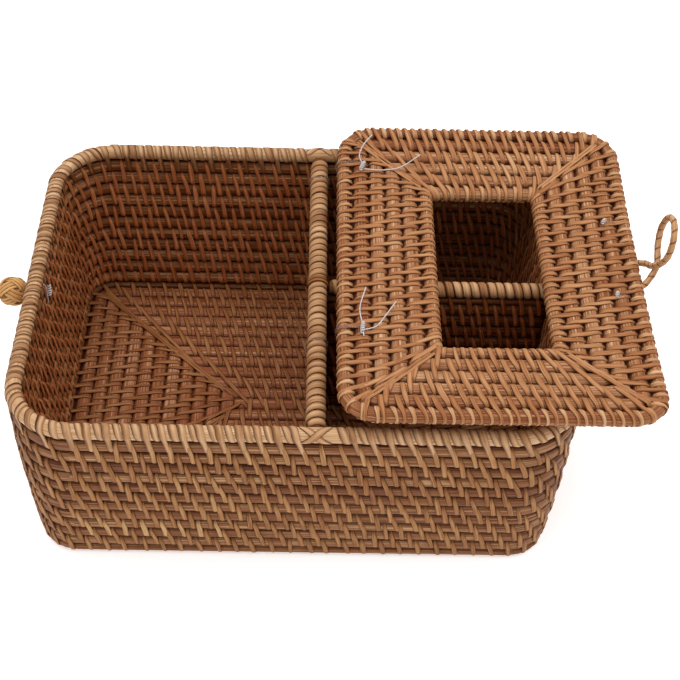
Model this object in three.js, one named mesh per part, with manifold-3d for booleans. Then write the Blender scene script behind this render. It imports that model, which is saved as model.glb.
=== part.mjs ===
// A coiled-rattan tissue box with a hinged, windowed lid, in millimetres, +Z up. It stands on z = 0
// with its origin under the middle of the base, +X along the long side and +Y towards the back.
// Rods are laid in courses: flat ones make the base and the lid, stacked ones make the walls. Two
// ribbed dividers part the inside, one tissue compartment on the left and two small ones on the
// right. The lid turns on the main divider's rail and lies opened out over the right half, and a
// cane loop on its free edge slips over a knob on the left wall when it is shut.
import * as THREE from "three";
import { mergeVertices } from "three/addons/utils/BufferGeometryUtils.js";
import Module from "manifold-3d";

const wasm = await Module();
wasm.setup();

// Clearance between pieces that seat on each other
const SEAT_GAP = 0.3;

// Box, measured at the rim's centre line
const RIM_LENGTH = 260;
const RIM_DEPTH = 200;
const RIM_DIAMETER = 8.4;
const RIM_CORNER_RADIUS = 30;
const BASE_CORNER_RADIUS = 16;
const WALL_TAPER = 7; // how far each side of the base lies inside the rim
const WALL_BELLY = 1.6; // 1 gives straight walls, more rounds them in towards the base
const WALL_COURSES = 11;
const ROD_HEIGHT = 7.5; // across the courses
const ROD_THICKNESS = 6.8; // through the wall or the base

// Dividers
const DIVIDER_X = 10;
const CROSS_DIVIDER_Y = 0;
const PANEL_THICKNESS = 6.4;
const RAIL_DIAMETER = 9.6;
const RAIL_DROP = 1.6; // the main rail's top lies this far under the rim's top
const CROSS_RAIL_DIAMETER = 8.2;
const CROSS_RAIL_DROP = 2.2; // the cross rail's top lies this far under the main rail's top
const LASHING_THICKNESS = 0.8;
const LASHING_WIDTH = 3.2;
const LASHING_REACH = 9; // from the crossing of the two strips to their ends

// Lid
const LID_THICKNESS = 8.2;
const LID_COURSES = 6;
const LID_ROD_WIDTH = 8.1;
const LID_CORNER_RADIUS = 16; // of its outer course's centre line
const LID_OVERHANG = 0.4; // past the left side of the rim when the lid is shut
const LID_BOW = 6; // the open lid's ends curl up this far over the rim, so the shut lid is domed
const LID_BOW_POWER = 3; // 1 gives straight slopes, more keeps the middle flatter
const HINGE_GAP = 1.2; // between the hinge axis and the lid's edge
const RAIL_TO_HINGE = 3; // from the rail's side to the hinge axis

// Closure
const LOOP_STRAND = 2.9;
const LOOP_LEG_SPREAD = 18; // between the two legs at the lid's edge
const LOOP_SINK = 0.7; // the pivot lies this far inside the lid's edge
const LOOP_REACH = 9.2; // from the pivot out to the plane of the loop
const LOOP_CROSSING = 6.5; // height above the pivot at which the legs cross
const LOOP_LENGTH = 30; // from the crossing to the far end
const LOOP_WIDTH = 20.5; // between the strands' centre lines
const LOOP_CLEARANCE = 0.35; // half the gap between the strands where they cross
const KNOB_DIAMETER = 15.5;
const KNOB_SHARE = 0.61; // how far up the loop the knob sits, from crossing to far end

// Nylon ties
const TIE_DIAMETER = 0.7;
const HINGE_TIE_INSETS = { rear: 27, front: 61 }; // in from the lid's rear and front ends
const LOOP_TIE_YS = { rear: 34, front: -19 };
const TIE_ROUNDING = 0.6; // corner radius, as a share of its smaller half width
const TIE_SPACING = 1.6; // between a hinge tie's turn round the rail and its turn round the lid

// Facets
const OCTAGON_CHAMFER = (1 - Math.tan(Math.PI / 8)) / 2; // share of a side
const SHARP_RADIUS = 0.3; // least rounding that is left beside a chamfer
const CORNER_STEPS = 3; // half the facets of a quarter turn
const TIE_CORNER_STEPS = 1;
const STRAND_SIDES = 8;
const LOOP_STEPS = 48;
const RAIL_SIDES = 16;
const BAR_OVERLAP = 0.05; // joins the bars of a divider into one solid
const BOW_STEPS = 7; // facets along a bowed side

// Levels
const coursePitch = ROD_HEIGHT + SEAT_GAP;
const firstCourseZ = ROD_THICKNESS + SEAT_GAP + ROD_HEIGHT / 2;
const rimZ = ROD_THICKNESS + WALL_COURSES * coursePitch + SEAT_GAP + RIM_DIAMETER / 2;
const rimTop = rimZ + RIM_DIAMETER / 2;
const railZ = rimTop - RAIL_DROP - RAIL_DIAMETER / 2;
const crossRailZ = rimTop - RAIL_DROP - CROSS_RAIL_DROP - CROSS_RAIL_DIAMETER / 2;
const lidZ = rimTop + SEAT_GAP + LID_THICKNESS / 2; // the lid's middle when open, its ends when shut
const hingeZ = lidZ + LID_BOW / 2;
const hingeX = DIVIDER_X + RAIL_DIAMETER / 2 + RAIL_TO_HINGE;
const lidPitch = LID_ROD_WIDTH + SEAT_GAP;
const lidLength = hingeX - HINGE_GAP + RIM_LENGTH / 2 + RIM_DIAMETER / 2 + LID_OVERHANG;
const lidDepth = RIM_DEPTH + RIM_DIAMETER;
const hingeTieYs = {
  rear: lidDepth / 2 - HINGE_TIE_INSETS.rear,
  front: HINGE_TIE_INSETS.front - lidDepth / 2,
};

const rattan = (color) => new THREE.MeshStandardMaterial({ color, roughness: 0.55, metalness: 0 });
const MATERIALS = {
  rod: rattan(0xa9764b),
  rim: rattan(0xc79a68),
  rail: rattan(0xc49563),
  lid: rattan(0xb98352),
  peel: rattan(0xcb9a62),
  knob: rattan(0xc58d4a),
  nylon: new THREE.MeshStandardMaterial({ color: 0xe6e6e6, roughness: 0.25, metalness: 0 }),
};

const box = new THREE.Group();
const lid = new THREE.Group();
lid.position.set(hingeX, 0, hingeZ);
box.add(lid);

// Booleans

function solidOf(geometry) {
  const bare = new THREE.BufferGeometry();
  bare.setAttribute("position", geometry.getAttribute("position"));
  bare.setIndex(geometry.getIndex());
  const merged = mergeVertices(bare, 1e-4);
  const vertProperties = merged.getAttribute("position").array;
  const triVerts = new Uint32Array(merged.getIndex().array);
  return new wasm.Manifold(new wasm.Mesh({ numProp: 3, vertProperties, triVerts }));
}

function geometryOf(solid) {
  const { vertProperties, triVerts } = solid.getMesh();
  const geometry = new THREE.BufferGeometry();
  geometry.setAttribute("position", new THREE.BufferAttribute(new Float32Array(vertProperties), 3));
  geometry.setIndex(new THREE.BufferAttribute(new Uint32Array(triVerts), 1));
  geometry.computeVertexNormals();
  return geometry;
}

function join(geometries) {
  return geometryOf(geometries.map(solidOf).reduce((whole, part) => whole.add(part)));
}

function cut(geometry, ways) {
  return geometryOf(ways.map(solidOf).reduce((whole, way) => whole.subtract(way), solidOf(geometry)));
}

function place(parent, name, geometry, material, position = [0, 0, 0]) {
  const mesh = new THREE.Mesh(geometry, material);
  mesh.name = name;
  mesh.position.set(...position);
  parent.add(mesh);
}

// Rods and hoops

function roundedRectangle(path, halfX, halfY, radius) {
  if (radius === 0) {
    path.moveTo(-halfX, -halfY);
    path.lineTo(halfX, -halfY);
    path.lineTo(halfX, halfY);
    path.lineTo(-halfX, halfY);
    path.lineTo(-halfX, -halfY);
    return path;
  }
  const x = halfX - radius;
  const y = halfY - radius;
  path.moveTo(x, -halfY);
  path.absarc(x, -y, radius, -Math.PI / 2, 0);
  path.absarc(x, y, radius, 0, Math.PI / 2);
  path.absarc(-x, y, radius, Math.PI / 2, Math.PI);
  path.absarc(-x, -y, radius, Math.PI, Math.PI * 1.5);
  path.lineTo(x, -halfY);
  return path;
}

// A shape extruded along Z to the given height, middle at z = 0, with its edges chamfered outwards.
function chamfered(shape, height, chamferX, chamferZ, chamferSteps, cornerSteps) {
  const geometry = new THREE.ExtrudeGeometry(shape, {
    depth: height - 2 * chamferZ,
    bevelEnabled: true,
    bevelSize: chamferX,
    bevelThickness: chamferZ,
    bevelSegments: chamferSteps,
    curveSegments: cornerSteps,
  });
  return geometry.translate(0, 0, chamferZ - height / 2);
}

// A flat ring of rod whose centre line is a rounded rectangle in the XY plane. A corner too tight to
// chamfer is made sharp, on the inside of one ring whenever it is on the outside of the next.
function hoop(centreLine, width, height, facets = {}) {
  const { chamferShare = OCTAGON_CHAMFER, chamferSteps = 1, cornerSteps = CORNER_STEPS } = facets;
  const chamfer = chamferShare * width;
  const edge = width / 2 - chamfer;
  const { halfX, halfY, radius } = centreLine;
  const sharpBelow = chamfer + SHARP_RADIUS;
  const outerRadius = radius + width / 2 < sharpBelow ? 0 : radius + edge;
  const innerRadius = radius - width / 2 < sharpBelow + SEAT_GAP ? 0 : radius - edge;
  const outline = roundedRectangle(new THREE.Shape(), halfX + edge, halfY + edge, outerRadius);
  outline.holes.push(roundedRectangle(new THREE.Path(), halfX - edge, halfY - edge, innerRadius));
  return chamfered(outline, height, chamfer, chamferShare * height, chamferSteps, cornerSteps);
}

// Points round a rounded rectangle, with steps along its two sides that lie along Y.
function bowedOutline(halfX, halfY, radius, cornerSteps) {
  const x = halfX - radius;
  const y = halfY - radius;
  const points = [];
  const corner = (centreX, centreY, from) => {
    for (let step = 0; step <= cornerSteps; step += 1) {
      const angle = from + (step / cornerSteps) * (Math.PI / 2);
      points.push([centreX + radius * Math.cos(angle), centreY + radius * Math.sin(angle)]);
    }
  };
  const side = (sideX, from, to) => {
    for (let step = 1; step < BOW_STEPS; step += 1) {
      points.push([sideX, from + (step / BOW_STEPS) * (to - from)]);
    }
  };
  corner(x, -y, -Math.PI / 2);
  side(halfX, -y, y);
  corner(x, y, 0);
  corner(-x, y, Math.PI / 2);
  side(-halfX, y, -y);
  corner(-x, -y, Math.PI);
  return points;
}

// A ring of rod as hoop makes it, each point lifted by the rise at its y.
function bowedHoop(centreLine, width, height, rise) {
  const { halfX, halfY, radius } = centreLine;
  const flat = 0.5 - OCTAGON_CHAMFER;
  const section = [
    [0.5, flat],
    [flat, 0.5],
    [-flat, 0.5],
    [-0.5, flat],
    [-0.5, -flat],
    [-flat, -0.5],
    [flat, -0.5],
    [0.5, -flat],
  ];
  const cornerSteps = radius + width / 2 > SHARP_RADIUS ? 2 * CORNER_STEPS : 2;
  const positions = [];
  for (const [across, up] of section) {
    const out = across * width;
    const corner = Math.max(radius + out, SHARP_RADIUS);
    for (const [x, y] of bowedOutline(halfX + out, halfY + out, corner, cornerSteps)) {
      positions.push(x, y, up * height + rise(y));
    }
  }
  const count = positions.length / 3 / section.length;
  const index = [];
  for (let line = 0; line < section.length; line += 1) {
    const next = (line + 1) % section.length;
    for (let point = 0; point < count; point += 1) {
      const after = (point + 1) % count;
      const [a, b] = [line * count + point, line * count + after];
      const [c, d] = [next * count + after, next * count + point];
      index.push(a, b, c, a, c, d);
    }
  }
  const geometry = new THREE.BufferGeometry();
  geometry.setAttribute("position", new THREE.Float32BufferAttribute(positions, 3));
  geometry.setIndex(index);
  geometry.computeVertexNormals();
  return geometry;
}

// A straight bar from x0 to x1 with an octagonal section, its axis on y = z = 0.
function bar(x0, x1, width, height) {
  const chamfer = OCTAGON_CHAMFER * width;
  const half = { x: (x1 - x0) / 2 - chamfer, y: width / 2 - chamfer };
  const outline = roundedRectangle(new THREE.Shape(), half.x, half.y, 0);
  const geometry = chamfered(outline, height, chamfer, OCTAGON_CHAMFER * height, 1, 1);
  return geometry.translate((x0 + x1) / 2, 0, 0);
}

const slab = (x, y, z) => new THREE.BoxGeometry(x, y, z);

// Walls

const courseZ = (course) => firstCourseZ + (course - 1) * coursePitch;

// Centre line of the wall at a height, which narrows and tightens its corners towards the base.
function wallLine(z) {
  const rise = z / rimZ;
  const lean = WALL_TAPER * (1 - rise) ** WALL_BELLY;
  return {
    halfX: RIM_LENGTH / 2 - lean,
    halfY: RIM_DEPTH / 2 - lean,
    radius: BASE_CORNER_RADIUS + rise * (RIM_CORNER_RADIUS - BASE_CORNER_RADIUS),
  };
}

function numbered(name, number) {
  return name + "_" + String(number).padStart(2, "0");
}

function buildWall(tieWays) {
  for (let course = 1; course <= WALL_COURSES; course += 1) {
    const z = courseZ(course);
    const ring = hoop(wallLine(z), ROD_THICKNESS, ROD_HEIGHT).translate(0, 0, z);
    place(box, numbered("wall_course", course), cut(ring, tieWays), MATERIALS.rod);
  }
}

// Base: mitred courses round a straight core rod

function buildBase() {
  const outer = wallLine(ROD_THICKNESS / 2);
  const count = Math.round(outer.halfY / coursePitch);
  const pitch = outer.halfY / count;
  const rodWidth = pitch - SEAT_GAP;
  const z = ROD_THICKNESS / 2;
  for (let course = 1; course <= count; course += 1) {
    const inset = (count - course) * pitch;
    const line = {
      halfX: outer.halfX - inset,
      halfY: outer.halfY - inset,
      radius: outer.radius - inset,
    };
    const ring = hoop(line, rodWidth, ROD_THICKNESS);
    place(box, numbered("base_course", course), ring, MATERIALS.rod, [0, 0, z]);
  }
  const coreEnd = outer.halfX - count * pitch + rodWidth / 2;
  place(box, "base_core_rod", bar(-coreEnd, coreEnd, rodWidth, ROD_THICKNESS), MATERIALS.rod, [0, 0, z]);
}

// Rim, with the crossed strips that lash the rails' ends to it

const RIM_FACETS = { chamferShare: 0.36, chamferSteps: 3 };
const LASHING_FACE = (40 * Math.PI) / 180; // the strips cross this far above the rim's outer side
const LASHING_LEAN = (50 * Math.PI) / 180; // of each strip from the rim's line
const LASHING_HALF_TURN = (80 * Math.PI) / 180; // the strips lie this far round each way
const LASHING_STEPS = 12;

// Two crossed strips on a rod that lies along X, with the outer side towards -Y. Grown by a
// clearance, they are the groove that the strips lie in.
function crossedStrips(rodRadius, clearance) {
  const inner = rodRadius - LASHING_THICKNESS - clearance;
  const outer = rodRadius + (clearance > 0 ? LASHING_THICKNESS : 0);
  const from = LASHING_FACE - LASHING_HALF_TURN - clearance / rodRadius;
  const to = LASHING_FACE + LASHING_HALF_TURN + clearance / rodRadius;
  const length = 2 * (LASHING_REACH + clearance);
  const sector = new THREE.Shape();
  sector.absarc(0, 0, outer, from, to);
  sector.absarc(0, 0, inner, to, from, true);
  const shell = new THREE.ExtrudeGeometry(sector, {
    depth: length,
    bevelEnabled: false,
    curveSegments: LASHING_STEPS,
  });
  // The sector's own x and y become the outward and upward directions.
  const outwards = new THREE.Vector3(0, -1, 0);
  const upwards = new THREE.Vector3(0, 0, 1);
  const alongRod = new THREE.Vector3().crossVectors(outwards, upwards);
  shell.translate(0, 0, -length / 2);
  shell.applyMatrix4(new THREE.Matrix4().makeBasis(outwards, upwards, alongRod));
  const strips = [-LASHING_LEAN, LASHING_LEAN].map((lean) =>
    slab(2 * length, LASHING_WIDTH + 2 * clearance, 4 * rodRadius)
      .rotateZ(lean)
      .rotateX(Math.PI / 2 - LASHING_FACE),
  );
  return geometryOf(solidOf(join(strips)).intersect(solidOf(shell)));
}

function buildRim(tieWays) {
  const line = wallLine(rimZ);
  const lashings = [
    { name: "lashing_front", turn: 0, at: [DIVIDER_X, -line.halfY, rimZ] },
    { name: "lashing_rear", turn: Math.PI, at: [DIVIDER_X, line.halfY, rimZ] },
    { name: "lashing_right", turn: Math.PI / 2, at: [line.halfX, CROSS_DIVIDER_Y, rimZ] },
  ];
  const ring = hoop(line, RIM_DIAMETER, RIM_DIAMETER, RIM_FACETS);
  const radius = RIM_DIAMETER / 2;
  const grooves = lashings.map(({ turn, at }) =>
    crossedStrips(radius, SEAT_GAP).rotateZ(turn).translate(...at),
  );
  place(box, "rim_hoop", cut(ring.translate(0, 0, rimZ), [...grooves, ...tieWays]), MATERIALS.rim);
  for (const { name, turn, at } of lashings) {
    place(box, name, crossedStrips(radius, 0).rotateZ(turn), MATERIALS.peel, at);
  }
}

// Ties: small hoops of nylon line that stand in the XZ plane

function tieHoop(halfX, halfZ, clearance) {
  const line = { halfX, halfY: halfZ, radius: Math.min(halfX, halfZ) * TIE_ROUNDING };
  const thickness = TIE_DIAMETER + 2 * clearance;
  return hoop(line, thickness, thickness, { cornerSteps: TIE_CORNER_STEPS }).rotateX(Math.PI / 2);
}

// A tie and the way that it needs through other pieces, both standing at a place.
function tie(halfX, halfZ, [x, y, z]) {
  const make = (clearance) => tieHoop(halfX, halfZ, clearance).translate(x, y, z);
  return { body: make(0), way: make(SEAT_GAP) };
}

const tieStandOff = SEAT_GAP + TIE_DIAMETER / 2; // from a surface to the line's middle

// Dividers

const railTie = (y) => {
  const reach = RAIL_DIAMETER / 2 + tieStandOff;
  return tie(reach, reach, [DIVIDER_X, y + TIE_SPACING / 2, railZ]);
};

// The band that lashes the cross rail to the main rail
function railBand(clearance) {
  const radius = RAIL_DIAMETER / 2 + SEAT_GAP + LASHING_THICKNESS / 2;
  const line = { halfX: radius, halfY: radius, radius: radius * TIE_ROUNDING };
  const thickness = LASHING_THICKNESS + 2 * clearance;
  const band = hoop(line, thickness, LASHING_WIDTH + 2 * clearance);
  return band.rotateX(Math.PI / 2).translate(DIVIDER_X, CROSS_DIVIDER_Y, railZ);
}

// Bars stacked course by course and trimmed level under a rail. span gives a course's two ends.
function ribbedPanel(span, top, ways) {
  const bars = [];
  for (let course = 1; course <= WALL_COURSES; course += 1) {
    const line = wallLine(courseZ(course));
    const [from, to] = span(line);
    const lift = course > 1 ? BAR_OVERLAP : 0;
    const height = ROD_HEIGHT + (course > 1 ? SEAT_GAP + lift : 0);
    const z = courseZ(course) + (ROD_HEIGHT - height) / 2;
    bars.push(bar(from, to, PANEL_THICKNESS, height).translate(0, 0, z));
  }
  const above = slab(2 * RIM_LENGTH, 2 * RIM_DEPTH, rimTop).translate(0, 0, top + rimTop / 2);
  return { bars: join(bars), cuts: [above, ...ways] };
}

function rail(diameter, length) {
  return new THREE.CylinderGeometry(diameter / 2, diameter / 2, length, RAIL_SIDES);
}

function buildMainDivider(ties) {
  const wallHalf = ROD_THICKNESS / 2 + SEAT_GAP;
  const top = railZ - RAIL_DIAMETER / 2 - SEAT_GAP;
  const ways = [...ties.map(({ way }) => way), railBand(SEAT_GAP)];
  const { bars, cuts } = ribbedPanel((line) => [wallHalf - line.halfY, line.halfY - wallHalf], top, []);
  const panel = bars.rotateZ(Math.PI / 2).translate(DIVIDER_X, 0, 0);
  place(box, "main_divider_panel", cut(panel, [...cuts, ...ways]), MATERIALS.rod);
  const railLength = RIM_DEPTH - RIM_DIAMETER - 2 * SEAT_GAP;
  place(box, "main_divider_rail", rail(RAIL_DIAMETER, railLength), MATERIALS.rail, [DIVIDER_X, 0, railZ]);
}

function buildCrossDivider() {
  const from = DIVIDER_X + PANEL_THICKNESS / 2 + SEAT_GAP;
  const wallHalf = ROD_THICKNESS / 2 + SEAT_GAP;
  const top = crossRailZ - CROSS_RAIL_DIAMETER / 2 - SEAT_GAP;
  const band = railBand(SEAT_GAP).translate(0, -CROSS_DIVIDER_Y, 0);
  const { bars, cuts } = ribbedPanel((line) => [from, line.halfX - wallHalf], top, [band]);
  place(box, "cross_divider_panel", cut(bars, cuts), MATERIALS.rod, [0, CROSS_DIVIDER_Y, 0]);
  const railFrom = DIVIDER_X + RAIL_DIAMETER / 2 + 2 * SEAT_GAP + LASHING_THICKNESS;
  const railTo = RIM_LENGTH / 2 - RIM_DIAMETER / 2 - SEAT_GAP;
  const crossRail = rail(CROSS_RAIL_DIAMETER, railTo - railFrom).rotateZ(Math.PI / 2);
  const middle = [(railFrom + railTo) / 2, CROSS_DIVIDER_Y, crossRailZ];
  place(box, "cross_divider_rail", crossRail, MATERIALS.rail, middle);
  place(box, "lashing_middle", railBand(0), MATERIALS.peel);
}

// Lid, in the frame of its hinge: +X from the hinge to its free edge, +Z the side that faces down
// when it is shut

const pivotX = HINGE_GAP + lidLength - LOOP_SINK;
// How far the lid's middle plane lies above the hinge axis
const lidRise = (y) => LID_BOW * (Math.abs((2 * y) / RIM_DEPTH) ** LID_BOW_POWER - 0.5);
const loopFeet = [LOOP_LEG_SPREAD / 2, -LOOP_LEG_SPREAD / 2];

// A tie through the lid at two distances from the hinge axis
function lidTie(from, to, y) {
  return tie((to - from) / 2, LID_THICKNESS / 2 + tieStandOff, [(from + to) / 2, y, lidRise(y)]);
}

// A round-bottomed notch in the lid's edge, in which a foot of the closure loop turns
function footNotch(y) {
  const radius = LOOP_STRAND / 2 + 3 * SEAT_GAP;
  const notch = new THREE.CylinderGeometry(radius, radius, LOOP_STRAND + 2 * SEAT_GAP, RAIL_SIDES);
  return notch.translate(pivotX, y, lidRise(y));
}

function buildLid() {
  const middle = HINGE_GAP + lidLength / 2;
  const lidEnd = HINGE_GAP + lidLength;
  const valley = (courses) => courses * lidPitch - SEAT_GAP / 2; // in from the lid's edge
  const ties = [
    ...Object.entries(hingeTieYs).map(([end, y]) => ({
      name: "lid_hinge_tie_" + end,
      ...lidTie(HINGE_GAP - tieStandOff, HINGE_GAP + valley(2), y - TIE_SPACING / 2),
    })),
    ...Object.entries(LOOP_TIE_YS).map(([end, y]) => ({
      name: "loop_tie_" + end,
      ...lidTie(lidEnd - valley(2), lidEnd - valley(1), y),
    })),
  ];
  const ways = [...ties.map(({ way }) => way), ...loopFeet.map(footNotch)];
  for (let course = 1; course <= LID_COURSES; course += 1) {
    const inset = (course - 1) * lidPitch;
    const line = {
      halfX: lidLength / 2 - LID_ROD_WIDTH / 2 - inset,
      halfY: lidDepth / 2 - LID_ROD_WIDTH / 2 - inset,
      radius: LID_CORNER_RADIUS - inset,
    };
    const ring = bowedHoop(line, LID_ROD_WIDTH, LID_THICKNESS, lidRise).translate(middle, 0, 0);
    place(lid, numbered("lid_course", course), cut(ring, ways), MATERIALS.lid);
  }
  for (const { name, body } of ties) {
    place(lid, name, body, MATERIALS.nylon);
  }
}

// Closure loop, in a frame on its pivot: +X out from the lid's edge, +Z up beside the opened lid

function loopCurve() {
  const leg = LOOP_LEG_SPREAD / 2;
  const half = LOOP_WIDTH / 2;
  const apart = LOOP_STRAND / 2 + LOOP_CLEARANCE;
  const up = (share) => LOOP_CROSSING + share * LOOP_LENGTH;
  const points = [
    [0, leg, 0],
    [LOOP_REACH * 0.25, leg * 0.99, LOOP_CROSSING * 0.18],
    [LOOP_REACH * 0.62, leg * 0.66, LOOP_CROSSING * 0.5],
    [LOOP_REACH - apart, 0, up(0)],
    [LOOP_REACH - apart * 0.4, -half * 0.72, up(0.26)],
    [LOOP_REACH, -half, up(0.55)],
    [LOOP_REACH, -half * 0.74, up(0.86)],
    [LOOP_REACH, 0, up(1)],
    [LOOP_REACH, half * 0.74, up(0.86)],
    [LOOP_REACH, half, up(0.55)],
    [LOOP_REACH + apart * 0.4, half * 0.72, up(0.26)],
    [LOOP_REACH + apart, 0, up(0)],
    [LOOP_REACH * 0.8, -leg * 0.66, LOOP_CROSSING * 0.5],
    [LOOP_REACH * 0.25, -leg * 0.99, LOOP_CROSSING * 0.18],
    [0, -leg, 0],
  ];
  return new THREE.CatmullRomCurve3(points.map((point) => new THREE.Vector3(...point)));
}

function disc(radius, sides) {
  const shape = new THREE.Shape();
  for (let side = 0; side <= sides; side += 1) {
    const angle = (2 * Math.PI * side) / sides;
    const point = [radius * Math.cos(angle), radius * Math.sin(angle)];
    if (side === 0) shape.moveTo(...point);
    else shape.lineTo(...point);
  }
  return shape;
}

function buildLoop() {
  const curve = loopCurve();
  const strand = new THREE.ExtrudeGeometry(disc(LOOP_STRAND / 2, STRAND_SIDES), {
    steps: LOOP_STEPS,
    bevelEnabled: false,
    extrudePath: curve,
  });
  // A round knuckle on the pivot at each foot
  const knuckles = loopFeet.map((y) =>
    new THREE.SphereGeometry(LOOP_STRAND / 2, STRAND_SIDES, STRAND_SIDES / 2).translate(0, y, 0),
  );
  place(lid, "closure_loop", join([strand, ...knuckles]), MATERIALS.peel, [pivotX, 0, lidRise(0)]);
}

// Knob, where the loop comes to lie when the lid is shut, and the tie that holds it to the wall

const KNOB_SEGMENTS = 16;
const knobZ = hingeZ - lidRise(0) - LOOP_CROSSING - KNOB_SHARE * LOOP_LENGTH;

// Round the two courses on either side of the joint between courses that is nearest the knob
function knobTie() {
  const nearest = Math.round((knobZ - firstCourseZ) / coursePitch + 0.5);
  const lower = Math.min(nearest, WALL_COURSES - 1);
  const z = courseZ(lower) + coursePitch / 2;
  const slope = wallLine(courseZ(lower + 2)).halfX - wallLine(courseZ(lower - 1)).halfX;
  const halfX = ROD_THICKNESS / 2 + tieStandOff + slope / 2;
  const x = wallLine(z).halfX;
  return { ...tie(halfX, coursePitch, [-x, 0, z]), reach: x + halfX + TIE_DIAMETER / 2 };
}

function buildKnob({ body, reach }) {
  const radius = KNOB_DIAMETER / 2;
  const ball = new THREE.SphereGeometry(radius, KNOB_SEGMENTS, KNOB_SEGMENTS / 2);
  place(box, "closure_knob", ball, MATERIALS.knob, [-(reach + SEAT_GAP + radius), 0, knobZ]);
  place(box, "knob_tie", body, MATERIALS.nylon);
}

const railTies = Object.entries(hingeTieYs).map(([end, y]) => ({ end, ...railTie(y) }));
const knobLine = knobTie();
buildBase();
buildWall([knobLine.way]);
buildRim([knobLine.way]);
buildMainDivider(railTies);
buildCrossDivider();
buildLid();
buildLoop();
buildKnob(knobLine);
for (const { end, body } of railTies) {
  place(box, "rail_hinge_tie_" + end, body, MATERIALS.nylon);
}

export default box;
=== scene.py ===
import math
from typing import NamedTuple

import bpy
import numpy as np
from mathutils import Matrix, Vector


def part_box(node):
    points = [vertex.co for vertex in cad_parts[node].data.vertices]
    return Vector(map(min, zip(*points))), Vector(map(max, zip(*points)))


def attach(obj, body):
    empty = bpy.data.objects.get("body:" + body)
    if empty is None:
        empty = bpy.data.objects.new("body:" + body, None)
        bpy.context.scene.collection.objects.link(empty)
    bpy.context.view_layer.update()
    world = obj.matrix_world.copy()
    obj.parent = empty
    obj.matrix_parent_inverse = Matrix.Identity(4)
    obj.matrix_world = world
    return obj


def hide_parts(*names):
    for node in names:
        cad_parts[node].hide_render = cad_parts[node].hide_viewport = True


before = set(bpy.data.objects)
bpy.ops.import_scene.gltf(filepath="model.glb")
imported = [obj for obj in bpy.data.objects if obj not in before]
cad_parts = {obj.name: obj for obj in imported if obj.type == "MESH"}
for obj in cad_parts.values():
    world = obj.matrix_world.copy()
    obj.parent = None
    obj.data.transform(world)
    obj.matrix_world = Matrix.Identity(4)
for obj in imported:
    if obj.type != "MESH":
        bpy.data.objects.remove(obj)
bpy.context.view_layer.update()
rng = np.random.default_rng(11)

# Sizes in millimetres, as in the part's source. Meshes are turned into metres when they are made.
MM_PER_METRE = 1000
RIM_HALF_LENGTH = 130.0
RIM_HALF_DEPTH = 100.0
RIM_CORNER = 30.0
BASE_CORNER = 16.0
WALL_TAPER = 7.0
WALL_BELLY = 1.6
WALL_COURSES = 11
COURSE_PITCH = 7.8
FIRST_COURSE_Z = 10.85
BASE_Z = 3.4
BASE_ROWS = 12
RIM_Z = 97.1
RIM_RADIUS = 4.2
DIVIDER_X = 10.0
PANEL_HALF = 3.2
RAIL_Z = 94.9
RAIL_RADIUS = 4.8
CROSS_RAIL_Z = 93.4
CROSS_RAIL_RADIUS = 4.1
LID_Z = 105.7
LID_HALF = 4.1
LID_LEFT = 19.0
LID_RIGHT = 170.2
LID_HALF_DEPTH = 104.2
LID_ROWS = 6
LID_PITCH = 8.4
LID_FIRST_ROW = 4.05
LID_EDGE_CORNER = 20.0
LID_BOW = 6.0
LID_BOW_POWER = 3
LID_HALF_ROD = 3.4
PIVOT_X = 169.5
LOOP_REACH = 5.9
LOOP_CROSSING = 6.5
LOOP_LENGTH = 28.6
LOOP_LEG = 9.0
LOOP_HALF_WIDTH = 10.25
LOOP_APART = 1.5
LOOP_LEAN = 0.16
LOOP_RADIUS = 1.65
LOOP_PITCH = 5.2
KNOB_CENTRE = MM_PER_METRE * np.mean(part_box("closure_knob"), axis=0)
KNOB_RADIUS = 7.75
KNOB_STRIP_GAP = 1.75
LINE_RADIUS = 0.3
HINGE_TIE_PLACES = (77.2, -43.2)
LOOP_TIE_PLACES = (34.0, -19.0)
# Radii of dark strands that lie in the gaps between rods: painted shade, for the shade in those gaps
WALL_GAP_SHADE_STRAND = 1.2
BASE_GAP_SHADE_STRAND = 1.1
LID_GAP_SHADE_STRAND = 1.3
DIVIDER_GAP_SHADE_STRAND = 1.0

# The sewing: split cane strips that each pass over two rods
WALL_SPACINGS = (8.9, 10.7, 9.6, 10.7)  # on the front, right, back and left
DIVIDER_SPACING = 8.9
BASE_SPACING = 9.2
LID_SPACING = 8.4
STRIP_HALF_WIDTH = 1.3
LID_STRIP_HALF_WIDTH = 1.4
STRIP_HALF_THICKNESS = 0.36
WALL_STITCH_HALF = 3.9
WALL_STITCH_LIFT = 3.2
DIVIDER_STITCH_HALF = 3.8
FAN_LENGTH = 22.0
LASHED_LENGTH = 7.5
LASHING_HALF_WIDTH = 1.65
LASHING_HALF_THICKNESS = 0.27

# How far a stitch leans along its row for each millimetre across it
OUTSIDE_LEAN = 0.17
INSIDE_LEAN = 0.2
PANEL_LEANS = (0.26, 0.16)  # along a panel's front and back, and along its ends

# How far each row of stitches is set off from the row before it, in stitches
OUTSIDE_SHIFT = 0.42
INSIDE_SHIFT = 0.67
TOP_SHIFTS = (0.67, 0.5)  # along the front and back of a panel's top, and along its ends
UNDER_SHIFTS = (0.42, 0.42)
RIM_INNER_OFFSET = -0.79

# A run of paler strips low on the front wall
PALE_ROW = 2
PALE_X = -70.0
PALE_REACH = 38.0
PALE_TINT = 1.7


def unit(vectors):
    return vectors / np.maximum(np.linalg.norm(vectors, axis=-1, keepdims=True), 1e-9)


def running_total(steps):
    return np.concatenate([[0], np.cumsum(steps)])


def lengths_along(points, power=1):
    """How far each point of a line is from its start, where each step counts to a power."""
    return running_total(np.linalg.norm(np.diff(points, axis=0), axis=1) ** power)


def at_distances(distance, lengths, values):
    """Values known along a line, read at other distances."""
    return np.stack([np.interp(distance, lengths, values[:, k]) for k in range(3)], axis=-1)


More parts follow.
